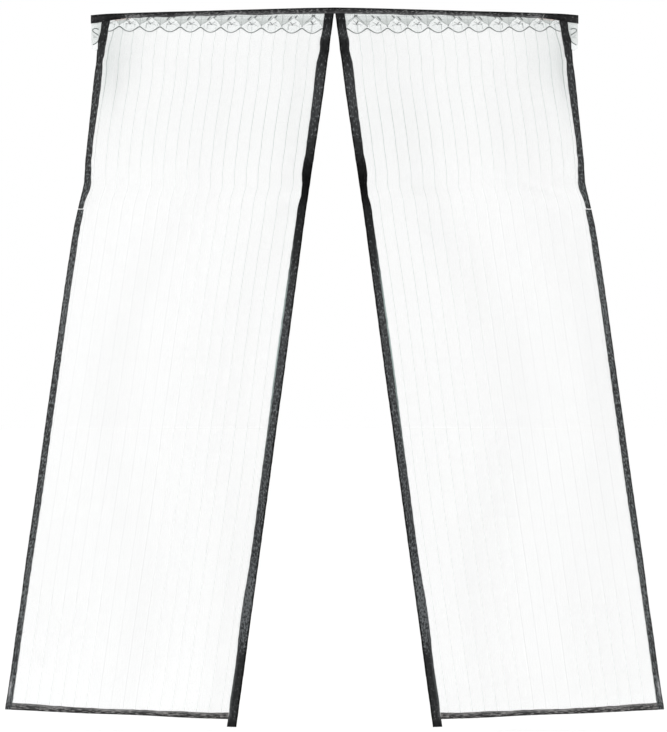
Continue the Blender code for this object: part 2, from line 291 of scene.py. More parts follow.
def threadMesh(name, side, paths, across, height, sides=6):
    # Many thin closed tubes in one mesh. paths is (threads, points, 3); a ring at each point is an
    # ellipse across wide and height high, both half sizes, one number for each point.
    threads, steps = paths.shape[:2]
    along = np.gradient(paths, axis=1)
    along /= np.linalg.norm(along, axis=-1, keepdims=True) + 1e-12
    beside = np.cross(along, (0.0, -1.0, 0.0))
    beside /= np.linalg.norm(beside, axis=-1, keepdims=True) + 1e-12
    above = np.cross(beside, along)
    turn = 2 * math.pi * (np.arange(sides) + 0.5) / sides
    wide, high = (np.broadcast_to(size, (threads, steps))[..., None, None] for size in (across, height))
    ring = wide * np.cos(turn)[:, None] * beside[:, :, None]
    ring = ring + high * np.sin(turn)[:, None] * above[:, :, None]
    points = paths[:, :, None] + ring
    index = np.arange(threads * steps * sides).reshape(threads, steps, sides)
    after = np.roll(index, -1, axis=2)
    walls = np.stack([index[:, :-1], index[:, 1:], after[:, 1:], after[:, :-1]], axis=-1).reshape(-1, 4)
    caps = []
    for j in range((sides - 2) // 2):
        corners = [j, j + 1, sides - 2 - j, sides - 1 - j]
        caps += [index[:, 0][:, corners], index[:, -1][:, corners[::-1]]]
    faces = np.concatenate([walls, *caps])
    if side < 0:
        faces = faces[:, ::-1]
    length = np.cumsum(np.linalg.norm(np.diff(paths, axis=1, prepend=paths[:, :1]), axis=-1), axis=1)
    uv = joined((np.arange(sides) / sides)[None, None], length[..., None])
    return fillMesh(name, points.reshape(-1, 3) * (side, 1, 1), faces, {"thread": uv.reshape(-1, 2)})


def startMaterial(name, colour, roughness, gloss=0.3):
    material = bpy.data.materials.new(name)
    material.use_nodes = True
    material.diffuse_color = (*colour, 1)
    shader = material.node_tree.nodes["Principled BSDF"]
    shader.inputs["Base Color"].default_value = (*colour, 1)
    shader.inputs["Roughness"].default_value = roughness
    shader.inputs["Specular IOR Level"].default_value = gloss
    return material, material.node_tree, shader


class Number:
    # A number or a colour inside a material, so that sums of them are written as plain sums.
    def __init__(self, socket):
        self.socket = socket

    def __add__(self, other):
        return calc("ADD", self, other)

    def __sub__(self, other):
        return calc("SUBTRACT", self, other)

    def __rsub__(self, other):
        return calc("SUBTRACT", other, self)

    def __mul__(self, other):
        return calc("MULTIPLY", self, other)

    def __truediv__(self, other):
        return calc("DIVIDE", self, other)

    def __abs__(self):
        return calc("ABSOLUTE", self)


def connect(node, socket, value):
    if isinstance(value, Number):
        node.id_data.links.new(value.socket, node.inputs[socket])
    else:
        node.inputs[socket].default_value = value


def addNode(tree, kind, inputs=None, **settings):
    node = tree.nodes.new(kind)
    for name, value in settings.items():
        setattr(node, name, value)
    for socket, value in (inputs or {}).items():
        connect(node, socket, value)
    return node


def treeOf(*values):
    return next(value.socket.id_data for value in values if isinstance(value, Number))


def calc(operation, *values):
    node = addNode(treeOf(*values), "ShaderNodeMath", dict(enumerate(values)), operation=operation)
    return Number(node.outputs[0])


def between(value, low, high, toLow=0.0, toHigh=1.0):
    # A smooth step of value from low to high.
    inputs = {"Value": value, "From Min": low, "From Max": high, "To Min": toLow, "To Max": toHigh}
    node = addNode(treeOf(value), "ShaderNodeMapRange", inputs, interpolation_type="SMOOTHSTEP")
    return Number(node.outputs[0])


def blendColour(amount, first, second, kind="MIX"):
    first, second = (value if isinstance(value, Number) else (*value, 1) for value in (first, second))
    inputs = {0: amount, 6: first, 7: second}
    node = addNode(treeOf(amount, first, second), "ShaderNodeMix", inputs, data_type="RGBA", blend_type=kind)
    return Number(node.outputs[2])


def mapParts(tree, label):
    # A UV map and its two numbers, in metres.
    uv = Number(addNode(tree, "ShaderNodeUVMap", uv_map=label).outputs[0])
    parts = addNode(tree, "ShaderNodeSeparateXYZ", {0: uv}).outputs
    return uv, Number(parts[0]), Number(parts[1])


def numbersOf(tree, *labels):
    nodes = [addNode(tree, "ShaderNodeAttribute", attribute_name=label) for label in labels]
    return [Number(node.outputs["Fac"]) for node in nodes]


def noiseOf(uv, scale, detail=2.0, shift=(0, 0, 0), rough=0.5, turn=0.0):
    # Noise on a UV map, with its own scale across and along, turned by an angle first.
    sizes = {"Location": shift, "Rotation": (0, 0, turn), "Scale": (1 / scale[0], 1 / scale[1], 1)}
    placed = addNode(treeOf(uv), "ShaderNodeMapping", {"Vector": uv, **sizes}, vector_type="TEXTURE")
    inputs = {"Vector": Number(placed.outputs[0]), "Scale": 1.0, "Detail": detail, "Roughness": rough}
    return Number(addNode(treeOf(uv), "ShaderNodeTexNoise", inputs).outputs[0])


def comb(value, pitch, share):
    # 1 on threads pitch apart that take up share of it, 0 in the holes between, with soft edges.
    place = calc("FRACT", value * (1 / pitch))
    return between(abs(place - 0.5) * 2.0, 1 - share * 1.25, 1 - share * 0.75)


def addBump(shader, height, distance):
    inputs = {"Height": height, "Distance": distance, "Strength": 1.0}
    bump = addNode(shader.id_data, "ShaderNodeBump", inputs)
    connect(shader, "Normal", Number(bump.outputs[0]))


netLook = {
    "thread": (0.930, 0.942, 0.938),
    "shaded": (0.52, 0.57, 0.555),  # where the net hangs in shadow
    "speck": (0.98, 0.99, 1.0),
    "stripe": (0.67, 0.70, 0.695),
    "crease": (0.36, 0.40, 0.39),  # painted shade, where a stripe is also a sharp fold
    "pitch": 0.0012,
    "share": 0.18,  # thread width to pitch
    "cover": 0.85,  # of a thread, and of a hole
    "open": 0.06,
    "stripeHalf": 0.0007,
    "stripePitch": 0.0350,
    "sheen": 0.25,
}


def netMaterial():
    # Square net: threads both ways leave holes between them. The stripes are close woven grey lines.
    look = netLook
    material, tree, shader = startMaterial("striped_net", look["thread"], 0.75)
    uv, across, down = mapParts(tree, "cloth")
    place, markAndShade, shade = numbersOf(tree, "stripe", "markAndShade", "shade")
    weft, warp = (comb(way, look["pitch"], look["share"]) for way in (down, across))
    # how strongly a stripe shows sets its width, colour and cover: its fading downwards is painted light,
    # its darkening on fold lines painted shade
    half = calc("MULTIPLY_ADD", markAndShade, 0.35, 0.65) * (look["stripeHalf"] / look["stripePitch"])
    stripe = between(abs(place - calc("ROUND", place)) / half, 1.3, 0.7)
    # tone is the painted shade, made uneven by noise: it darkens the net, and its stripes by half as much
    tone = shade * between(noiseOf(uv, (9, 5), 3), 0.25, 0.75, 0.8, 1.2)
    colour = blendColour(tone, look["thread"], look["shaded"])
    speck = between(noiseOf(uv, (700, 240), 1, (3, 1, 0)), 0.62, 0.80, 0, 0.35)
    colour = blendColour(speck, colour, look["speck"])
    line = blendColour(between(markAndShade, 0.9, 2.2), look["stripe"], look["crease"])
    line = blendColour(tone * 0.5, line, look["shaded"])
    connect(shader, "Base Color", blendColour(stripe * calc("MINIMUM", markAndShade, 1.0), colour, line))
    thin = calc("MAXIMUM", calc("MAXIMUM", weft, warp) * look["cover"], look["open"])
    broken = between(noiseOf(uv, (400, 90), 2), 0.30, 0.55, 0.60, 1.0)
    shown = calc("MINIMUM", markAndShade * 0.75, 0.95) * broken
    connect(shader, "Alpha", calc("MAXIMUM", thin, stripe * shown))
    connect(shader, "Sheen Weight", look["sheen"])
    addBump(shader, weft + warp, 0.0002)
    return material


laceLook = {
    "light": (0.92, 0.955, 0.95),
    "ground": (0.575, 0.605, 0.59),
    "stain": (0.62, 0.44, 0.38),
    "pitch": 0.0011,
    "share": 0.18,
    "cover": 0.66,  # of the close ground, and of the open net
    "open": 0.05,
    "sheen": 0.2,
}


def laceMaterial():
    # Slanting net, light and open in the shells, close and grey between them, with a brownish stain.
    look = laceLook
    material, tree, shader = startMaterial("lace", look["light"], 0.7)
    uv, across, down = mapParts(tree, "cloth")
    ground, stain = numbersOf(tree, "ground", "stain")
    rising, falling = (comb(way, look["pitch"], look["share"]) for way in (across + down, across - down))
    worn = ground * between(noiseOf(uv, (160, 110), 3), 0.3, 0.7, 0.75, 1.1)
    colour = blendColour(worn, look["light"], look["ground"])
    connect(shader, "Base Color", blendColour(stain * 0.8, colour, look["stain"]))
    weave = calc("MAXIMUM", rising, falling)
    connect(shader, "Alpha", calc("MAXIMUM", weave, worn * look["cover"] + look["open"]))
    connect(shader, "Sheen Weight", look["sheen"])
    addBump(shader, rising + falling, 0.0002)
    return material


def threadMaterial(name, colour, pale, twist=0.0012):
    # Twisted thread: slanting turns round the tube, with a painted highlight that makes them lighter on
    # their crests.
    material, tree, shader = startMaterial(name, colour, 0.7)
    uv, around, along = mapParts(tree, "thread")
    crest = calc("SINE", (along * (1 / twist) + around) * (2 * math.pi))
    # the pale colour on the crests is a painted highlight
    amount = between(crest, -1, 1) * between(noiseOf(uv, (2, 60), 3), 0.35, 0.7)
    connect(shader, "Base Color", blendColour(amount, colour, pale))
    connect(shader, "Sheen Weight", 0.3)
    addBump(shader, crest, 0.00015)
    return material


tapeLooks = {  # colours of the cloth and its fuzz, tone of the fold, flecks a metre and their slant
    "heading_tape": {
        "base": (0.030, 0.030, 0.031),
        "fuzz": (0.168, 0.168, 0.168),
        "fold": 0.36,
        "flecks": (300, 100),
        "slant": 0.25,
    },
    "side_tape": {
        "base": (0.029, 0.029, 0.030),
        "fuzz": (0.175, 0.190, 0.192),
        "fold": 0.62,
        "flecks": (300, 105),
        "slant": 0.22,
    },
    "centre_tape": {
        "base": (0.028, 0.029, 0.030),
        "fuzz": (0.136, 0.145, 0.150),
        "fold": 0.22,
        "flecks": (270, 110),
        "slant": 0.25,
    },
    "hem_tape": {
        "base": (0.029, 0.029, 0.029),
        "fuzz": (0.270, 0.262, 0.258),
        "fold": 0.65,
        "flecks": (380, 52),
        "slant": 0.05,
    },
}
tapeWeave = {  # the same on every tape
    "twillAcross": 0.0011,
    "twillAlong": 0.0007,
    "seam": 0.0062,  # a line of sewing, from the raw edge
    "fuzzFrom": 0.61,  # noise above this is a fleck, lower by fuzzMore where fuzz is 1
    "fuzzMore": 0.09,
    "fuzzBlur": 0.07,
    "selvedge": (0.33, 0.40, 0.385),
}


def tapeMaterial(name):
    # Woven tape: a fine twill, pale fuzz in slanting flecks, a dark fold, a line of sewing and a worn raw
    # edge. wear, rim, fuzz and pale are numbers on the points that say how it changes along the tape; one
    # that a tape doesn't have is 0.
    look, weave = tapeLooks[name], tapeWeave
    material, tree, shader = startMaterial(name, look["base"], 0.9, 0.05)
    uv, across, along = mapParts(tree, "tape")
    fromEdge, wear, rim, fuzz, pale = numbersOf(tree, "fromEdge", "wear", "rim", "fuzz", "pale")
    fold = between(abs(across), 0.0015, 0.0075, look["fold"], 1.0)
    rim = between(fromEdge, 0.0085, 0.0045, 1.0, rim)
    seam = between(abs(fromEdge - weave["seam"]), 0.0009, 0.0003, 1.0, 0.45)
    mottled = between(noiseOf(uv, (170, 60), 3, (1, 5, 0), turn=look["slant"]), 0.3, 0.7, 0.66, 1.34)
    tone = (fold * rim) * (seam * wear) * mottled
    grey = addNode(tree, "ShaderNodeCombineColor", {0: tone, 1: tone, 2: tone}).outputs[0]
    colour = blendColour(1.0, look["base"], Number(grey), "MULTIPLY")
    lint = noiseOf(uv, look["flecks"], 3, (7, 2, 0), 0.6, look["slant"])
    fibres = noiseOf(uv, (1300, 420), 2, (2, 9, 0), turn=-0.25)
    threshold = weave["fuzzFrom"] - fuzz * fold * weave["fuzzMore"]
    loose = between((lint * 0.75 + fibres * 0.25 - threshold) / weave["fuzzBlur"], -0.5, 0.5)
    colour = blendColour(loose * 0.9, colour, look["fuzz"])
    selvedge = between(fromEdge, 0.0052, 0.0030) * pale
    connect(shader, "Base Color", blendColour(selvedge * 0.9, colour, weave["selvedge"]))
    twill = across * (1 / weave["twillAcross"]) + along * (1 / weave["twillAlong"])
    ribs = calc("SINE", twill * (2 * math.pi))
    addBump(shader, ribs * 0.3 + loose * 0.8 + seam * 1.2, 0.0003)
    return material


netPiece = {
    "thickness": 0.00045,
    "inset": 0.0020,  # fold of a tape to the raw edge of the net
    "rows": 290,
    "stripes": 18,
    "pitch": 0.0348,
    "ridge": 0.0011,
    "ridgeHeight": 0.00012,
    "flat": (0.679, 2.045),
}


stripeTable = {  # side tape to the first stripe, pitch, bow of the middle ones and how strongly they show; their fading downwards is painted light
    "columns": ("drop", "first", "pitch", "bow", "markAndShade"),
    "rows": (
        (0.03, 0.0080, 0.0342, 0.0042, 1.00), (0.10, 0.0085, 0.0344, 0.0042, 1.00),
        (0.14, 0.0120, 0.0343, 0.0044, 1.00), (0.33, 0.0100, 0.0345, 0.0042, 1.10),
        (0.45, 0.0100, 0.0344, 0.0040, 1.00), (0.50, 0.0085, 0.0342, 0.0030, 0.90),
        (0.60, 0.0100, 0.0348, 0.0000, 0.60), (0.75, 0.0105, 0.0348, 0.0000, 0.50),
        (1.00, 0.0090, 0.0350, 0.0000, 0.40), (1.40, 0.0022, 0.0358, 0.0000, 0.30),
        (1.80, 0.0012, 0.0360, 0.0000, 0.25), (2.05, 0.0012, 0.0360, 0.0000, 0.25),
    ),
}


def stripePlaces(row):
    # Distance of each stripe from the side edge, the middle ones drawn outwards by the bow. The first two
    # lean in at the outer top corner.
    number = np.arange(netPiece["stripes"])
    first, pitch, bow = (curveOf(stripeTable, name, row) for name in ("first", "pitch", "bow"))
    places = outlineAt("sideW", row) + first + pitch * number - bow * hump(number - 6.5, 5.5)
    lean = 0.0085 * (1 - ease((row - 0.070) / 0.065))
    push = np.zeros(netPiece["stripes"])
    push[:2] = (1.0, 0.15)
    return places + lean * push


def stripeMarkAndShade(number, row):
    # How strongly a stripe shows, with painted light and shade in it: the first ones are darkened as fold
    # lines in the outer top corner, and further down those by the centre tape show most.
    fold = (1.5 * hump(number, 0.6) + 0.45 * hump(number - 1.5, 1.0)) * (1 - ease((row - 0.15) / 0.18))
    inner = ease((number - 8) / 7) * ease((row - 0.22) / 0.12) * (0.45 + 0.75 * ease((row - 0.54) / 0.16))
    outer = 0.4 * ease((11 - number) / 4) * ease((row - 0.44) / 0.08)
    low = 1.3 * ease((8 - number) / 3) * ease((row - 1.66) / 0.14) + 0.35 * ease((row - 1.15) / 0.15)
    return curveOf(stripeTable, "markAndShade", row) * (1 + fold + inner - outer + low)


def netColumns(row):
    # Distances from the side edge and stripe numbers of the net's columns, three on each stripe.
    places = stripePlaces(row)
    span, centreW = spanAt(row), outlineAt("centreW", row)
    ridge, inset = netPiece["ridge"], netPiece["inset"]
    columns, numbers = [], []

    def fill(start, end, first, last, steps, closed=False):
        u = np.linspace(0, 1, steps + 1)[: steps + 1 if closed else steps]
        columns.append(start + u * (end - start))
        numbers.append(np.broadcast_to(first + u * (last - first), (len(row), len(u))))

    edge = ridge / netPiece["pitch"]
    fill(inset, places[:, :1] - ridge, -0.8, -edge, 8)
    for k in range(netPiece["stripes"]):
        here = places[:, k : k + 1]
        fill(here - ridge, here, k - edge, k, 1)
        fill(here, here + ridge, k, k + edge, 1)
        if k + 1 < netPiece["stripes"]:
            fill(here + ridge, places[:, k + 1 : k + 2] - ridge, k + edge, k + 1 - edge, 4)
    fill(here + ridge, span - centreW, k + edge, k + 0.5, 6)
    fill(span - centreW, span - inset, k + 0.5, k + 0.8, 5, closed=True)
    return np.hstack(columns), np.hstack(numbers)


def netShade(share, drop, number):
    # Painted shade, where the net looks greyer: the outer top corner inside the first stripe, a light shade
    # above the fold line, and the strip beside the centre tape.
    inside = ease((number + 0.5) / 0.5)
    corner = 1.0 * hump(1 - share, 0.15) * hump(drop - 0.12, 0.17) * inside
    highShade = 0.10 * ease(drop / 0.06) * (1 - ease((drop - 0.36) / 0.16))
    beside = 0.14 * hump(share, 0.26) * (1 - ease((drop - 0.40) / 0.60))
    return corner + highShade + beside


def makeNet(side, name, material):
    # The cloth's surface over rows and stripe columns, with a low ridge on each stripe.
    row = np.linspace(hangs["netTop"], hangs["netBottom"] - netPiece["inset"], netPiece["rows"])[:, None]
    inward, number = netColumns(row)
    share = 1 - inward / spanAt(row)
    drop = dropAt(share, row)
    onStripe = 1 - np.clip(np.abs(number - np.round(number)) * netPiece["pitch"] / netPiece["ridge"], 0, 1)
    points = clothAt(share, drop, netPiece["ridgeHeight"] * onStripe)
    values = {"stripe": number, "shade": netShade(share, drop, number), "markAndShade": stripeMarkAndShade(number, row)}
    mesh = sheetMesh(f"net_{name}", side, points, {"cloth": joined(inward, row)}, values)
    return thicken(finishPiece(mesh, material, [f"panel_{name}"]), netPiece["thickness"])


tapePiece = {
    "thickness": 0.0008,
    "edgeLift": 0.00115,  # middle of the net to the middle of a ply at its raw edge
    "foldLift": 0.00165,
    "laceLift": 0.00165,  # added where the lace lies under the front ply
    "swell": 0.0006,
    "step": 0.0038,
    "slitDrop": 0.1230,  # the side tape's fold is open above this
    "pocketDrop": 0.1530,
    "startGap": 0.0004,  # heading to the first row
    "sideStart": 0.047,  # about where the side tape's fold leaves the heading
    "pucker": 0.00012,  # of the ply beside its sewing, and how often
    "puckerPitch": 0.0113,
    "waver": 0.00025,  # of the tape, in and out, and its length
    "waverLength": 0.061,
    "sideButt": 0.5890,
    "buttGap": 0.0034,
    "buttStep": 0.0024,  # the lower side tape starts this much wider
    "buttStepLength": 0.095,
    "tailDrop": 2.1020,
    "meetTo": 0.06,  # how far down a tape's rows still follow the heading's slanting edge
    "meetGap": -0.0002,
}
wearAlong = {  # by drop: tone, tone by the raw edge, fuzz, and the pale selvedge; 1, 1, 1 and 0 are plain
    "centre": {
        "columns": ("drop", "wear", "rim", "fuzz", "pale"),
        "rows": (
            (0.000, 0.46, 1.20, -0.1, 0.0), (0.050, 0.56, 1.10, 0.1, 0.0),
            (0.075, 0.95, 0.95, 0.5, 0.0), (0.100, 0.45, 1.80, 0.0, 0.0), (0.140, 0.52, 1.80, 0.0, 0.0),
            (0.200, 1.15, 0.95, 0.5, 0.0), (0.260, 1.30, 0.90, 0.5, 0.0), (0.360, 1.00, 1.05, 0.4, 0.0),
            (0.410, 0.66, 0.90, 0.1, 0.0), (0.470, 0.28, 0.80, -0.6, 0.0),
            (0.530, 0.15, 0.80, -1.0, 0.0), (0.590, 0.50, 0.95, -0.2, 0.0),
            (0.660, 0.58, 1.00, 0.0, 0.0), (0.760, 0.85, 1.30, 0.4, 0.3), (0.860, 1.15, 1.10, 0.7, 1.0),
            (1.080, 1.25, 1.00, 0.8, 1.0), (1.220, 1.15, 1.05, 0.9, 0.3), (1.400, 1.10, 1.10, 0.9, 0.0),
            (1.620, 1.05, 1.20, 1.0, 0.0), (1.700, 1.20, 1.10, 1.4, 0.0), (1.800, 0.90, 1.30, 1.3, 0.0),
            (1.860, 0.85, 1.40, 0.9, 0.0), (1.910, 0.74, 2.20, 0.0, 0.0), (2.020, 0.76, 2.20, 0.0, 0.1),
            (2.080, 0.76, 2.00, 0.0, 0.0), (2.100, 0.35, 1.00, -0.5, 0.0),
        ),
    },
    "side": {
        "columns": ("drop", "wear", "rim", "fuzz"),
        "rows": (
            (0.00, 0.62, 1.00, 0.00), (0.09, 0.72, 1.00, 0.00), (0.13, 0.90, 1.00, 0.15),
            (0.20, 1.14, 1.00, 0.50), (0.30, 1.08, 1.00, 0.60), (0.38, 1.20, 1.00, 0.70),
            (0.50, 1.12, 1.00, 0.80), (0.57, 1.30, 0.90, 0.90), (0.62, 1.15, 0.95, 0.80),
            (0.72, 1.30, 0.95, 0.90), (0.82, 1.30, 0.95, 1.00), (0.95, 1.15, 0.95, 1.00),
            (1.10, 1.15, 0.95, 0.90), (1.60, 1.35, 0.90, 1.00), (1.72, 1.50, 1.00, 1.10),
            (1.90, 1.15, 0.90, 0.90), (1.96, 1.35, 0.90, 1.00), (2.00, 1.50, 1.00, 1.00),
            (2.04, 1.10, 1.00, 1.00),
        ),
    },
    "streaks": (  # pale worn marks along the side tape: drop, half length, depth from the fold, width, wear
        (1.989, 0.027, 0.0054, 0.0023, 22.0),
        (0.870, 0.140, 0.0064, 0.0021, 2.6),
    ),
}


def plyLift(depth, width, foldAt, extra):
    # Lift of a ply at depth in from the fold: pressed to the cloth at the raw edge, fuller by the fold.
    g = np.clip((width - depth) / (width - foldAt), 0, 1)
    flat = tapePiece["edgeLift"] + (tapePiece["foldLift"] - tapePiece["edgeLift"]) * ease(g / 0.45)
    return flat + extra + tapePiece["swell"] * np.sin(math.pi * g) ** 2


def tapeProfile(width, extra):
    # Depth in from the fold, lift, distance round from the fold and from the raw edge, across a tape
    # folded in two: the front ply, half an ellipse for the fold, the back ply. extra lifts the front.
    width, extra = width[:, None], extra[:, None]
    front, back = tapePiece["foldLift"] + extra, -tapePiece["foldLift"]
    high, middle = (front - back) / 2, (front + back) / 2
    foldAt = 0.8 * high
    flat = np.array([0.0, 0.03, 0.12, 0.25, 0.38, 0.52, 0.68, 0.84])
    depthFront = width - flat * (width - foldAt)
    turn = np.linspace(math.pi / 2, -math.pi / 2, 9)
    depthBack = depthFront[:, ::-1]
    liftFront = plyLift(depthFront, width, foldAt, extra)
    liftBack = -plyLift(depthBack, width, foldAt, 0)
    depth = np.hstack([depthFront, foldAt * (1 - np.cos(turn)), depthBack])
    lift = np.hstack([liftFront, middle + high * np.sin(turn), liftBack])
    around = np.hstack([depthFront, foldAt * turn / (math.pi / 2), -depthBack])
    return depth, lift, around, width - np.abs(around)


foldColumns = slice(8, 16)  # the quads of a tape's fold in that profile


def tapeWidth(name, drop):
    # The outline's width, a little uneven, and wider where the lower side tape starts.
    seed = {"sideW": 1.7, "centreW": 5.2}[name]
    below = (np.asarray(drop) - tapePiece["sideButt"]) / tapePiece["buttStepLength"]
    step = tapePiece["buttStep"] * (below > 0) * (1 - ease(below)) if name == "sideW" else 0
    return outlineAt(name, drop) + 0.0003 * ripple(drop, 0.047, seed) + step


def tapeAt(atSide, rows):
    # A long tape's width at each row, and how far the lace under it lifts its front ply.
    drops = rows if atSide else rows + skewAt(rows)
    laced = 1 - ease((rows - tapePiece["slitDrop"]) / (tapePiece["pocketDrop"] - tapePiece["slitDrop"]))
    return tapeWidth("sideW" if atSide else "centreW", drops), tapePiece["laceLift"] * laced


def shareIn(atSide, depth, rows):
    # The share at a depth in from a long tape's fold.
    share = depth / spanAt(rows)
    return 1 - share if atSide else share


def finishTape(name, side, grid, material, node, level=False, left=None):
    # What every tape ends with. grid is its points, its distances around and along, and its numbers. A
    # level tape's grid is turned, because it runs across and not down.
    points, around, along, values = grid
    uv = joined(around, along)
    values = {label: np.broadcast_to(value, around.shape) for label, value in values.items()}
    if level:
        points, uv = points.swapaxes(0, 1), uv.swapaxes(0, 1)
        values = {label: value.T for label, value in values.items()}
    mesh = sheetMesh(name, side, points, {"tape": uv}, values, left)
    return thicken(finishPiece(mesh, material, [node]), tapePiece["thickness"])


def makeLongTape(side, name, atSide, rows, material, node):
    # A tape folded over a long edge of a half, from the first of rows to the last.
    width, extra = tapeAt(atSide, rows)
    depth, lift, around, fromEdge = tapeProfile(width, extra)
    start, rows = rows[0], rows[:, None]
    turn = 2 * math.pi * rows / tapePiece["puckerPitch"]
    pucker = tapePiece["pucker"] * np.sin(turn) * hump(fromEdge - 0.004, 0.003)
    lift = lift + np.sign(lift) * pucker
    depth = depth + tapePiece["waver"] * ripple(rows, tapePiece["waverLength"], 2.5)
    share = shareIn(atSide, depth, rows)
    drop = dropAt(share, rows)
    if start < tapePiece["meetTo"]:
        x = outlineAt("centreX", drop[0]) + share[0] * spanAt(drop[0])
        meet = headingBottom(x) + tapePiece["meetGap"] - drop[0]
        drop = drop + meet * (1 - ease((rows - start) / tapePiece["meetTo"]))
    table = wearAlong["side" if atSide else "centre"]
    values = {"fromEdge": fromEdge, **{label: curveOf(table, label, drop) for label in table["columns"][1:]}}
    for place, half, deep, wide, worn in wearAlong["streaks"] if atSide else ():
        uneven = 0.75 + 0.25 * ripple(drop, 0.013, 3.0)
        streak = hump(drop - place, half) * hump(around - deep, wide) * uneven
        values["wear"] = values["wear"] + worn * streak
    left = None
    if atSide and start < tapePiece["slitDrop"]:
        left = np.zeros((len(rows) - 1, depth.shape[1] - 1), bool)
        left[rows[1:, 0] <= tapePiece["slitDrop"], foldColumns] = True
    grid = (clothAt(share, drop, lift), around, rows, values)
    return finishTape(name, side, grid, material, node, left=left)


def rowsFrom(first, last, step):
    return np.linspace(first, last, math.ceil((last - first) / step) + 1)


def makeSideTapes(side, name, material):
    # Two lengths that meet end to end.
    first = float(headingBottom(outlineAt("sideX", tapePiece["sideStart"]))) + tapePiece["startGap"]
    butt, gap = tapePiece["sideButt"], tapePiece["buttGap"] / 2
    upper = rowsFrom(first, butt - gap, tapePiece["step"])
    lower = rowsFrom(butt + gap, hangs["netBottom"], tapePiece["step"])
    return [
        makeLongTape(side, f"side_tape_a_{name}", True, upper, material, f"side_tape_upper_{name}"),
        makeLongTape(side, f"side_tape_b_{name}", True, lower, material, f"side_tape_lower_{name}"),
    ]


def makeCentreTape(side, name, material):
    first = float(headingBottom(0)) + tapePiece["startGap"] - skewAt(hangs["netTop"])
    rows = rowsFrom(first, tapePiece["tailDrop"] - hangs["bottomSkew"], tapePiece["step"])
    return makeLongTape(side, f"middle_tape_{name}", False, rows, material, f"centre_tape_{name}")


hemPiece = {
    "columns": ("x", "height"),
    "rows": (
        (0.300, 0.0192), (0.335, 0.0174), (0.370, 0.0162), (0.430, 0.0176), (0.500, 0.0156),
        (0.600, 0.0155), (0.640, 0.0145), (0.700, 0.0155), (0.790, 0.0168), (0.870, 0.0190),
        (0.950, 0.0204),
    ),
    "steps": 170,
    "gap": 0.0003,
}


def makeHem(side, name, material):
    # A tape folded over the bottom edge, between the two long tapes.
    bottom = np.array([hangs["netBottom"]])
    span = spanAt(bottom)
    inner = (outlineAt("centreW", bottom + hangs["bottomSkew"]) + hemPiece["gap"]) / span
    outer = 1 - (outlineAt("sideW", bottom) + hemPiece["gap"]) / span
    share = np.linspace(inner[0], outer[0], hemPiece["steps"])[:, None]
    length = share * span
    x = outlineAt("centreX", bottom) + length[:, 0]
    height = curveOf(hemPiece, "height", x) + 0.0005 * ripple(length[:, 0], 0.083, 0.4)
    depth, lift, around, fromEdge = tapeProfile(height, np.zeros(len(share)))
    lift = lift + np.sign(lift) * 0.00025 * ripple(length, 0.021, 1.1) * hump(fromEdge, 0.006)
    points = clothAt(share, dropAt(share, hangs["netBottom"] - depth), lift)
    values = {
        "fromEdge": fromEdge,
        "wear": 1.25 + 0.3 * ripple(length, 0.31, 2.0),
        "rim": 2.8 + 0.7 * ripple(length, 0.23, 4.0),
        "fuzz": 0.85 + 0.4 * ripple(length, 0.17, 0.3),
    }
    grid = (points, around, length, values)
    return finishTape(f"hem_{name}", side, grid, material, f"hem_tape_{name}", level=True)


headingPiece = {
    "columns": ("x", "top", "height"),
    "rows": (
        (0.0000, 0.0000, 0.0175), (0.1000, 0.0018, 0.0170), (0.1600, 0.0034, 0.0160),
        (0.2200, 0.0051, 0.0172), (0.2900, 0.0070, 0.0136), (0.3600, 0.0091, 0.0151),
        (0.4350, 0.0112, 0.0130), (0.4800, 0.0123, 0.0156), (0.5450, 0.0142, 0.0136),
        (0.5700, 0.0149, 0.0152), (0.6000, 0.0160, 0.0143), (0.6250, 0.0170, 0.0163),
        (0.6500, 0.0178, 0.0190), (0.6880, 0.0202, 0.0235), (0.7125, 0.0226, 0.0242),
    ),
    "half": 0.7125,
    "step": 0.0040,
    "sewnIn": 0.0030,
}
headingWear = {
    "columns": ("x", "wear", "rim", "fuzz"),
    "rows": (
        (0.00, 0.55, 2.8, 0.2), (0.06, 0.80, 2.4, 0.6), (0.14, 0.88, 2.3, 0.8), (0.22, 0.90, 2.7, 0.7),
        (0.29, 0.95, 2.9, 0.8), (0.34, 0.80, 2.9, 0.7), (0.40, 0.95, 2.3, 0.9), (0.50, 0.60, 2.4, 0.3),
        (0.55, 0.75, 2.3, 0.6), (0.60, 1.15, 2.1, 1.1), (0.62, 0.72, 1.2, 0.0), (0.71, 0.76, 1.0, 0.1),
    ),
}


def headingTop(x):
    return curveOf(headingPiece, "top", np.abs(x))


def headingBottom(x):
    return headingTop(x) + curveOf(headingPiece, "height", np.abs(x))


def makeHeading(material):
    # A tape folded over the top edges of both halves, cut square at its ends.
    half = headingPiece["half"]
    x = rowsFrom(-half, half, headingPiece["step"])
    height = curveOf(headingPiece, "height", np.abs(x)) + 0.0002 * ripple(x, 0.052, 3.0)
    depth, lift, around, fromEdge = tapeProfile(height, np.full(len(x), tapePiece["laceLift"]))
    x = x[:, None]
    lift = lift + (lift > 0) * 0.0004 * ripple(x, 0.041, 0.9) * hump(fromEdge, 0.007)
    points = joined(x, -lift, -(headingTop(x) + depth))
    values = {label: curveOf(headingWear, label, np.abs(x)) for label in headingWear["columns"][1:]}
    values["fromEdge"] = fromEdge
    grid = (points, around, x, values)
    return finishTape("heading", 1, grid, material, "heading_tape", level=True)


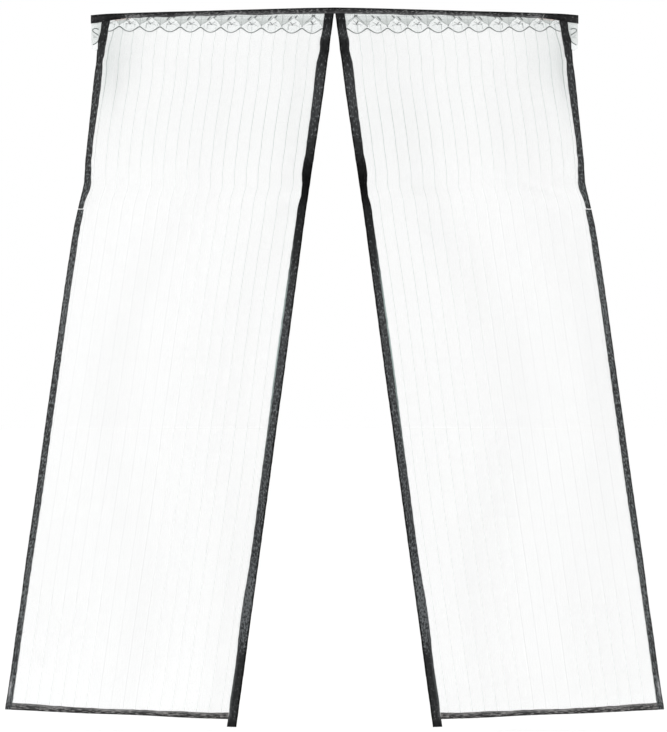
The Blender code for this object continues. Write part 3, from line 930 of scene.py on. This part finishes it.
lacePiece = {
    "thickness": 0.0004,
    "lift": 0.00165,
    "start": 0.0200,
    "end": 0.7105,
    "pitch": 0.0593,  # width of a lobe
    "firstLobe": 0.0655,
    "lobes": 11,
    "cuspDrop": 0.0623,  # middle of the edge cord at a cusp, at the curtain's middle
    "cuspSlope": -0.0110,
    "lobeDepth": 0.0140,
    "lobeSkew": 0.0010,  # how far outwards the bottom of a lobe is drawn
    "lobePower": 0.94,
    "cuspRound": 0.3,
    "shellHeight": 0.0305,  # above the cusps
    "lean": 0.0062,  # of a shell's peak towards the middle of the curtain
    "rows": 34,
    "columnStep": 0.00155,
    "flutter": 0.0004,  # of the free edge
    "threadLift": 0.00025,  # of the embroidery, from the middle of the lace
    "ladderLevels": (0.0100, 0.0365, 0.0045),  # first, end and pitch, above the cusps
    "uprightFrom": 0.004,
    "uprightTo": 0.040,
    "uprightLean": 0.004,
}
shellShape = {  # half the width of a shell, in the pattern's own size
    "columns": ("height", "half"),
    "rows": (
        (-0.0150, 0.0296), (0.0000, 0.0295), (0.0050, 0.0289), (0.0095, 0.0264), (0.0130, 0.0214),
        (0.0152, 0.0196), (0.0171, 0.0177), (0.0190, 0.0146), (0.0210, 0.0106), (0.0230, 0.0079),
        (0.0250, 0.0053), (0.0280, 0.0023), (0.0305, 0.0000), (0.0600, 0.0000),
    ),
}
laceTail = {  # the loose end: its lower edge, and where the lace stops and plain net goes on
    "columns": ("x", "drop", "laceDrop"),
    "rows": (
        (0.6710, 0.0635, 0.0635), (0.6800, 0.0960, 0.0870), (0.6890, 0.1190, 0.0950),
        (0.6970, 0.1265, 0.1030), (0.7105, 0.1190, 0.1120),
    ),
}


def cuspLine(x):
    return lacePiece["cuspDrop"] + lacePiece["cuspSlope"] * x


def lobeAt(x):
    # 0 at a cusp and 1 at the bottom of a lobe: |cos| with its corners rounded, its bottom drawn outwards.
    blunt, pitch = lacePiece["cuspRound"], lacePiece["pitch"]
    off = (x - lacePiece["firstLobe"]) / pitch
    off = off - np.round(off)
    off = off - lacePiece["lobeSkew"] / pitch * (1 - 4 * off**2)
    rounded = (np.sqrt(np.cos(math.pi * off) ** 2 + blunt**2) - blunt) / (math.sqrt(1 + blunt**2) - blunt)
    return rounded ** lacePiece["lobePower"]


def laceEdge(x):
    lobes = cuspLine(x) + lacePiece["lobeDepth"] * lobeAt(x)
    return np.where(x > laceTail["rows"][0][0], curveOf(laceTail, "drop", x), lobes)


def onLace(x, drop, lift=0.0):
    # A point of the lace at x and drop, lift in front of it.
    share = (x - outlineAt("centreX", drop)) / spanAt(drop)
    return clothAt(share, drop, lacePiece["lift"] + lift)


def stretchAt(x):
    # The pattern is pulled taller towards the middle of the curtain.
    return 1.12 - 0.36 * x


def shellHalf(height):
    # Half the width of the light shell at a height above the cusps, in the pattern's own size.
    return np.maximum(curveOf(shellShape, "half", height), 0)


def leanAt(height):
    return lacePiece["lean"] * ease((height - 0.006) / 0.015)


def laceGround(x, drop):
    # About 1 on the darkest grey ground close beside the shells, less further off, 0 inside the shells and
    # near the cusps.
    height = (cuspLine(x) - drop) / stretchAt(x)
    shifted = (x + leanAt(height) - lacePiece["firstLobe"]) / lacePiece["pitch"]
    off = np.abs(shifted - np.round(shifted)) * lacePiece["pitch"]
    outside = ease((off - shellHalf(height)) / 0.0014 + 0.6) * ease((height - 0.002) / 0.011)
    beside = hump(off - shellHalf(height) - 0.0018, 0.0040) * hump(height - 0.0175, 0.0065)
    band = hump(height - 0.0195, 0.0060)
    loose = 0.12 + 0.58 * ease((curveOf(laceTail, "laceDrop", x) - drop) / 0.002)
    loose = loose + 0.3 * hump(x - 0.688, 0.006) * hump(drop - 0.065, 0.025)
    return np.where(x > laceTail["rows"][0][0], loose, outside * (0.46 + 0.30 * band + 0.66 * beside))


def laceStain(x, drop):
    # A brownish stain below the heading, near the curtain's outer end.
    low = headingBottom(x)
    return hump(np.maximum(drop - low, 0), 0.0035) * ease((x - 0.585) / 0.02) * ease((0.655 - x) / 0.02)


def makeLace(side, name, material):
    # A scalloped strip in front of the net, from inside the centre tape to the heading's end.
    x = rowsFrom(lacePiece["start"], lacePiece["end"], lacePiece["columnStep"])[None]
    top = headingTop(x) + headingPiece["sewnIn"]
    down = np.linspace(0, 1, lacePiece["rows"])[:, None]
    drop = top + down * (laceEdge(x) - top)
    flutter = lacePiece["flutter"] * ripple(x, 0.031, 0.2) * ease((down - 0.5) * 2)
    points = onLace(x, drop, flutter)
    values = {"ground": laceGround(x, drop), "stain": laceStain(x, drop)}
    mesh = sheetMesh(f"lace_strip_{name}", side, points, {"cloth": joined(x, drop)}, values)
    return thicken(finishPiece(mesh, material, [f"lace_{name}"]), lacePiece["thickness"])


def innerEdges(drop):
    # x of the inner edges of the two long tapes.
    centre = outlineAt("centreX", drop) + outlineAt("centreW", drop)
    return centre, outlineAt("sideX", drop) - outlineAt("sideW", drop)


edgeCord = {
    "across": 0.00112,
    "thicker": 0.00050,  # added at the cusps
    "loose": 1.25,  # times as wide on the loose end
    "height": 0.0008,
    "lift": 0.00015,
    "step": 0.0018,
    "ends": (0.04, 0.665),  # near these the cord goes under the long tapes, by tuck
    "tuck": 0.0015,
    "hairpin": (  # places of the cord on the loose end, turned back on itself
        (0.6900, 0.0640),
        (0.6950, 0.0618),
        (0.7005, 0.0612),
        (0.7055, 0.0635),
        (0.7072, 0.0672),
        (0.7045, 0.0712),
        (0.6985, 0.0755),
        (0.6900, 0.0812),
    ),
    "lower": ((0.6890, 0.0950), (0.6925, 0.0992), (0.6950, 0.1022), (0.7000, 0.1058), (0.7065, 0.1092)),
}


def makeEdgeCords(side, name, material):
    # The cord along the lobes, and two more on the loose end.
    first, last = (innerEdges(laceEdge(np.array(x)))[k] for k, x in enumerate(edgeCord["ends"]))
    x = rowsFrom(float(first) - edgeCord["tuck"], float(last) + edgeCord["tuck"], edgeCord["step"])
    paths = [onLace(x, laceEdge(x), edgeCord["lift"])]
    for places in (edgeCord["hairpin"], edgeCord["lower"]):
        paths.append(onLace(*throughPoints(np.array(places), len(x)), edgeCord["lift"]))
    across = edgeCord["across"] + edgeCord["thicker"] * (1 - lobeAt(x))
    across = np.stack([across] + [np.full(len(x), edgeCord["across"] * edgeCord["loose"])] * 2)
    mesh = threadMesh(f"edge_cord_{name}", side, np.stack(paths), across, edgeCord["height"], 8)
    return finishPiece(mesh, material)


def throughPoints(places, steps):
    # x and drop of a smooth curve through a few places, evenly spread over its own parameter.
    at = np.linspace(0, len(places) - 1, steps)
    table = {"columns": ("k", "x", "drop"), "rows": [(float(k), *place) for k, place in enumerate(places)]}
    return curveOf(table, "x", at), curveOf(table, "drop", at)


motifs = {  # threads of a shell, each a smooth line through places (outwards, above the cusps) in mm
    "others": {
        "sprigs": (
            ((-1.5, 8.9), (1.0, 12.4), (5.6, 15.6)),
            ((-1.2, 9.4), (0.0, 13.0), (2.0, 15.6), (6.0, 16.8)),
            ((-1.5, 8.9), (-4.6, 12.6), (-9.4, 14.4), (-12.8, 16.4)),
            ((-1.5, 8.9), (3.5, 9.2), (8.6, 9.2)),
        ),
        "leaves": (((10.4, 21.0), (5.0, 27.2), (-0.8, 32.8)), ((-8.6, 27.6), (-12.8, 31.6), (-16.9, 35.4))),
        "dots": (((-3.2, 8.8), (-1.5, 8.9), (0.2, 8.8)), ((6.8, 9.2), (8.6, 9.4), (10.4, 9.2))),
        "stems": (
            ((8.8, 8.8), (10.2, 2.0), (11.0, -4.8)),
            ((-1.5, 8.9), (-8.0, 9.4), (-13.0, 7.8), (-18.0, 5.0)),
        ),
    },
    "middle": {  # the shell next to the middle of the curtain
        "sprigs": (
            ((-2.2, 11.2), (-7.4, 11.6), (-12.6, 13.2)),
            ((-2.2, 12.5), (-5.6, 17.6), (-11.1, 21.4)),
            ((-2.2, 11.2), (2.4, 10.4), (6.5, 11.6)),
            ((21.0, 14.6), (11.0, 22.6), (0.4, 30.4)),
            ((-6.8, 32.0), (-16.2, 25.4), (-26.0, 19.4)),
        ),
        "leaves": (
            ((1.8, 31.0), (-3.6, 33.8), (-9.0, 36.8)),
            ((-9.2, 31.2), (-3.6, 33.8), (1.8, 36.8)),
            ((3.2, 19.8), (0.4, 15.6), (-2.4, 11.6)),
        ),
        "dots": (((-3.6, 11.0), (-2.2, 11.2), (-0.8, 11.0)), ((2.0, 18.6), (3.3, 18.7), (4.6, 18.8))),
        "stems": (((0.1, 9.1), (1.0, 0.0), (1.6, -10.0)), ((6.5, 11.6), (10.0, 10.2), (13.4, 8.2))),
    },
}
threadSizes = {  # half width, half height and sides
    "sprigs": (0.00064, 0.0003, 6),
    "leaves": (0.00245, 0.00035, 8),
    "dots": (0.00175, 0.0004, 6),
    "shells": (0.0005, 0.0003, 6),
    "ladders": (0.00024, 0.00022, 6),
    "uprights": (0.00055, 0.0003, 6),
    "stems": (0.00055, 0.0003, 6),
}

looseThreads = {  # places of short threads near the outer end, as x and drop
    "dark": {"half": 0.00060, "lines": (((0.6052, 0.0338), (0.6010, 0.0382), (0.5954, 0.0437)),)},
    "pale": {"half": 0.00055, "lines": (((0.6128, 0.0204), (0.6102, 0.0246), (0.6074, 0.0298)),)},
    "sprig": {
        "half": 0.00050,
        "lines": (
            ((0.7062, 0.0800), (0.7022, 0.0832), (0.6965, 0.0842)),
            ((0.7058, 0.0884), (0.7012, 0.0866), (0.6950, 0.0880)),
        ),
    },
}


def motifPaths(kind, lobes, steps):
    # Lines of one kind as (threads, points) of x and height above the cusps.
    xs, heights = [], []
    for lines, places in ((motifs["middle"][kind], lobes[:1]), (motifs["others"][kind], lobes[1:])):
        for line in lines:
            a, h = throughPoints(np.array(line) / 1000, steps)
            xs.append(places[:, None] + a)
            heights.append(np.broadcast_to(h, (len(places), steps)))
    return np.concatenate(xs), np.concatenate(heights)


def shellLines(lobes, steps):
    # Both sides of each shell's outline, from near the cusp up to the peak.
    height = lacePiece["shellHeight"] * np.linspace(0.12, 1, steps)
    half, lean = shellHalf(height), leanAt(height)
    xs = np.concatenate([lobes[:, None] - lean + half, lobes[:, None] - lean - half])
    return xs, np.broadcast_to(height, xs.shape)


def ladderLines(lobes, steps):
    # Level threads across the ground between two shells.
    xs, heights = [], []
    cusps = lobes + lacePiece["pitch"] / 2
    for level in np.arange(*lacePiece["ladderLevels"]):
        reach = lacePiece["pitch"] / 2 - shellHalf(level)
        u = np.linspace(-1, 1, steps)
        xs.append(cusps[:, None] - leanAt(level) + reach * u)
        heights.append(np.full((len(cusps), steps), level))
    return np.concatenate(xs), np.concatenate(heights)


def uprightLines(lobes, steps):
    # One upright thread over each cusp.
    cusps = lobes + lacePiece["pitch"] / 2
    xs = cusps[:, None] - lacePiece["uprightLean"] * np.linspace(0, 1, steps)
    height = np.linspace(lacePiece["uprightFrom"], lacePiece["uprightTo"], steps)
    return xs, np.broadcast_to(height, xs.shape)


def layThreads(side, name, label, places, taper, material):
    # Threads on the lace, without those that would lie under a long tape.
    xs, heights = places
    drop = cuspLine(xs) - heights * stretchAt(xs)
    drop = np.maximum(drop, headingTop(xs) + headingPiece["sewnIn"] + 0.001)
    low, high = innerEdges(drop)
    kept = ((xs > low) & (xs < high)).all(axis=1)
    across, height, sides = threadSizes[label]
    paths = onLace(xs[kept], drop[kept], lacePiece["threadLift"])
    mesh = threadMesh(f"{label}_{name}", side, paths, across * taper, height * taper, sides)
    return finishPiece(mesh, material)


def makeEmbroidery(side, name, materials):
    lobes = lacePiece["firstLobe"] + lacePiece["pitch"] * np.arange(lacePiece["lobes"])
    u = np.linspace(0.04, 0.96, 13)
    leafTaper = np.sin(math.pi * u) ** 0.6 * (1 - 0.25 * hump(u - 0.5, 0.14))
    dotTaper = np.sin(math.pi * np.linspace(0.1, 0.9, 5))
    threads = (
        ("sprigs", motifPaths("sprigs", lobes, 13), 1, "sprig"),
        ("leaves", motifPaths("leaves", lobes, 13), leafTaper, "leaf"),
        ("dots", motifPaths("dots", lobes, 5), dotTaper, "sprig"),
        ("shells", shellLines(lobes, 25), 1, "outline"),
        ("ladders", ladderLines(lobes, 9), 1, "outline"),
        ("uprights", uprightLines(lobes, 9), 1, "outline"),
        ("stems", motifPaths("stems", lobes, 9), 1, "outline"),
    )
    made = []
    for label, places, taper, kind in threads:
        made.append(layThreads(side, name, label, places, taper, materials[kind]))
    return made


def makeLoose(side, name, label, material):
    # Short threads near the outer end: on the lace, or on the heading's front for the pale one.
    look = looseThreads[label]
    steps = 9
    xs, drops = zip(*(throughPoints(np.array(line), steps) for line in look["lines"]))
    x, drop = np.stack(xs), np.stack(drops)
    if label == "pale":
        front = tapePiece["foldLift"] + tapePiece["laceLift"] + tapePiece["thickness"] / 2
        paths = joined(x, -(front + tapePiece["swell"]), -drop)
    else:
        paths = onLace(x, drop, 0.0003)
    taper = look["half"] * np.sin(math.pi * np.linspace(0.12, 0.88, steps)) ** 0.5
    return finishPiece(threadMesh(f"loose_{label}_{name}", side, paths, taper, 0.7 * taper), material)


sewing = {
    "pitch": 0.0036,
    "length": 0.0027,
    "half": 0.00022,
    "rows": ((True, 0.0022), (False, 0.0022), (False, 0.0062)),  # on the side tape or not, from the raw edge
    "dips": (-0.0003, 0.0002, 0.0002, -0.0003),  # lift along a stitch
    "start": 0.03,  # below the net's top row
    "sideEnd": 0.004,  # above the lower end of a side tape, and of a centre tape
    "centreEnd": 0.02,
}


def stitchPaths(at, point):
    # Short threads along a line, each dipping into the cloth at its ends: point(place, lift).
    starts = np.arange(at[0], at[1] - sewing["length"], sewing["pitch"])
    u = np.array([0.0, 0.2, 0.8, 1.0])
    places = starts[:, None] + sewing["length"] * u
    return point(places, np.broadcast_to(sewing["dips"], places.shape))


def seamPoint(atSide, fromEdge, face):
    # A place on a long tape's ply, fromEdge in from its raw edge, on its front or its back.
    def point(rows, lift):
        width, extra = tapeAt(atSide, rows)
        extra = extra if face > 0 else 0
        foldAt = 0.8 * (2 * tapePiece["foldLift"] + extra) / 2
        depth = width - fromEdge
        level = face * (plyLift(depth, width, foldAt, extra) + tapePiece["thickness"] / 2 + lift)
        share = shareIn(atSide, depth, rows)
        return clothAt(share, dropAt(share, rows), level)

    return point


def makeStitches(side, name, material):
    # One row of stitches along each side tape, and two along each centre tape, front and back.
    top = hangs["netTop"] + sewing["start"]
    sideEnd = hangs["netBottom"] - sewing["sideEnd"]
    centreEnd = tapePiece["tailDrop"] - hangs["bottomSkew"] - sewing["centreEnd"]
    runs = []
    for face in (1, -1):
        for atSide, fromEdge in sewing["rows"]:
            end = sideEnd if atSide else centreEnd
            runs.append(stitchPaths((top, end), seamPoint(atSide, fromEdge, face)))
    mesh = threadMesh(f"stitches_{name}", side, np.concatenate(runs), sewing["half"], sewing["half"], 4)
    return finishPiece(mesh, material)


studio = {
    "distance": 12.0,
    "across": -0.0032,  # the camera's x, and its height above the curtain's middle
    "above": 0.0034,
    "sensor": 36.0,  # mm
    "reach": 200.0,
    "margin": 1.0167,  # height of the view to the height of the curtain
    "floorGap": 0.03,
    "floorHalf": 60.0,
    "worldStrength": 1.0,
    "floorGlow": 0.085,
    "lights": (  # name, place, size and power
        ("key", (-2.6, -3.4, 0.9), 1.6, 60.0),
        ("fill", (3.2, -3.0, -0.2), 2.4, 15.0),
    ),
}


def makeFloor():
    half, low = studio["floorHalf"], cadLow.z - studio["floorGap"]
    points = joined(*np.meshgrid((-half, half), (-half, half)), low).reshape(-1, 3)
    mesh = fillMesh("floor", points, np.array([[0, 1, 3, 2]]))
    floor = addObject("floor", mesh)
    material, _, shader = startMaterial("floor", (0.92, 0.92, 0.92), 0.9)
    connect(shader, "Emission Color", (1, 1, 1, 1))
    connect(shader, "Emission Strength", studio["floorGlow"])
    mesh.materials.append(material)


def addLight(name, place, target, size, power):
    data = bpy.data.lights.new(name, "AREA")
    data.shape = "DISK"
    data.size = size
    data.energy = power
    light = addObject(name, data)
    light.location = place
    light.rotation_euler = (Vector(target) - Vector(place)).to_track_quat("-Z", "Y").to_euler()


def makeStudio():
    scene = bpy.context.scene
    scene.view_settings.view_transform = "Standard"
    world = bpy.data.worlds.new("studio")
    scene.world = world
    world.use_nodes = True
    background = world.node_tree.nodes["Background"]
    connect(background, "Color", (1, 1, 1, 1))
    connect(background, "Strength", studio["worldStrength"])
    middle = (cadLow + cadHigh) / 2
    height = cadHigh.z - cadLow.z
    for name, place, size, power in studio["lights"]:
        addLight(name, place, middle, size, power)
    data = bpy.data.cameras.new("camera")
    data.sensor_width = studio["sensor"]
    data.lens = data.sensor_width * studio["distance"] / (height * studio["margin"])
    data.clip_end = studio["reach"]
    camera = addObject("camera", data)
    camera.location = (studio["across"], middle.y - studio["distance"], middle.z + studio["above"])
    camera.rotation_euler = (math.pi / 2, 0, 0)
    scene.camera = camera


makeStudio()
makeFloor()
print("studio done")
materials = {
    "net": netMaterial(),
    "lace": laceMaterial(),
    # each thread's second colour is its painted highlight on the crests
    "cord": threadMaterial("edge_cord", (0.080, 0.098, 0.092), (0.19, 0.22, 0.21)),
    "sprig": threadMaterial("motif_thread", (0.09, 0.10, 0.10), (0.22, 0.25, 0.24), 0.0006),
    "leaf": threadMaterial("leaf_thread", (0.13, 0.14, 0.138), (0.30, 0.32, 0.31), 0.0005),
    "outline": threadMaterial("outline_thread", (0.16, 0.18, 0.175), (0.36, 0.39, 0.38), 0.0006),
    "dark": threadMaterial("dark_thread", (0.05, 0.05, 0.05), (0.12, 0.12, 0.12), 0.0006),
    "pale": threadMaterial("pale_thread", (0.34, 0.33, 0.32), (0.60, 0.59, 0.57), 0.0006),
    "sewing": threadMaterial("sewing_thread", (0.022, 0.022, 0.024), (0.10, 0.10, 0.10), 0.0005),
    "heading": tapeMaterial("heading_tape"),
    "side": tapeMaterial("side_tape"),
    "centre": tapeMaterial("centre_tape"),
    "hem": tapeMaterial("hem_tape"),
}
print("materials done")
heading = makeHeading(materials["heading"])
for side, name in ((-1, "left"), (1, "right")):
    net = makeNet(side, name, materials["net"])
    sideTapes = makeSideTapes(side, name, materials["side"])
    centreTape = makeCentreTape(side, name, materials["centre"])
    hem = makeHem(side, name, materials["hem"])
    lace = makeLace(side, name, materials["lace"])
    cords = makeEdgeCords(side, name, materials["cord"])
    embroidery = makeEmbroidery(side, name, materials)
    embroidery += [makeLoose(side, name, label, materials[label]) for label in ("dark", "sprig")]
    paleThread = makeLoose(side, name, "pale", materials["pale"])
    stitches = makeStitches(side, name, materials["sewing"])
    sewnOn = [*sideTapes, centreTape, hem, stitches, paleThread] + ([heading] if side < 0 else [])
    print(f"{name} half done")
